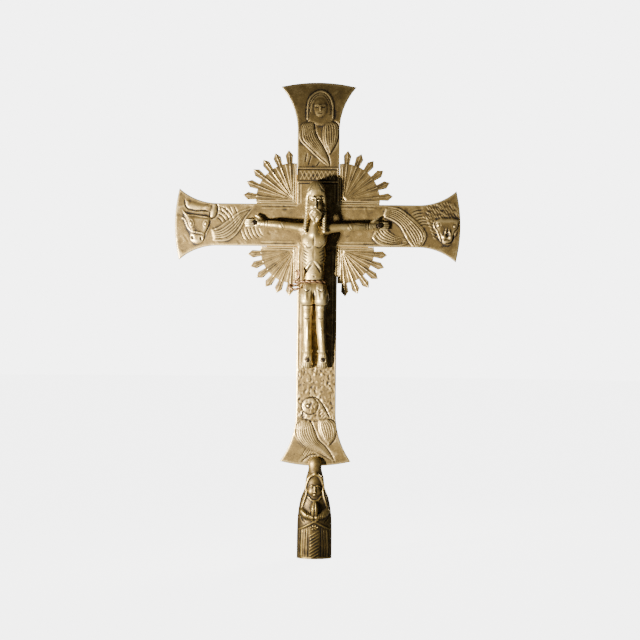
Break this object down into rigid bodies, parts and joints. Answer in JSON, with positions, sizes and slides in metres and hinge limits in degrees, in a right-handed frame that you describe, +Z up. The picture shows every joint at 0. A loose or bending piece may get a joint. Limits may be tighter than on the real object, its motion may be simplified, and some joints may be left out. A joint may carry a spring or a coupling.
{
  "type": "altar cross",
  "caption": "Cast bronze altar cross with flared arms, a rayed glory behind the crossing, a screwed-on figure with a wire belt, and a figural stem with a flat foot.",
  "frame": {"origin": "centre of the stem's flat foot face; the cross plate's mid-plane is Y = 0", "axes": "+Z up the cross, +X to the viewer's right, and the relief front faces -Y"},
  "size_m": [0.3002, 0.0363, 0.4995],
  "materials": {
    "cast_bronze": "cast, brown patina in the hollows, rubbed to gold on the ridges",
    "figure_bronze": "cast and rubbed, satin",
    "screw_steel": "browned",
    "belt_wire": "soft twisted wire, dull brown"
  },
  "bodies": {
    "root": {"cross_plate": "cast_bronze", "glory": "cast_bronze", "stem": "cast_bronze", "figure": "figure_bronze", "waist_wire": "belt_wire", "left_hand_screw": "screw_steel", "left_hand_washer": "screw_steel", "left_hand_nut": "screw_steel", "right_hand_screw": "screw_steel", "right_hand_washer": "screw_steel", "right_hand_nut": "screw_steel", "left_foot_screw": "screw_steel", "left_foot_washer": "screw_steel", "left_foot_nut": "screw_steel", "right_foot_screw": "screw_steel", "right_foot_washer": "screw_steel", "right_foot_nut": "screw_steel", "glory_rivet_right": "cast_bronze", "glory_rivet_upper": "cast_bronze", "glory_rivet_left": "cast_bronze", "glory_rivet_lower": "cast_bronze", "tang_rivet_lower": "cast_bronze", "tang_rivet_upper": "cast_bronze"}
  },
  "joints": []
}
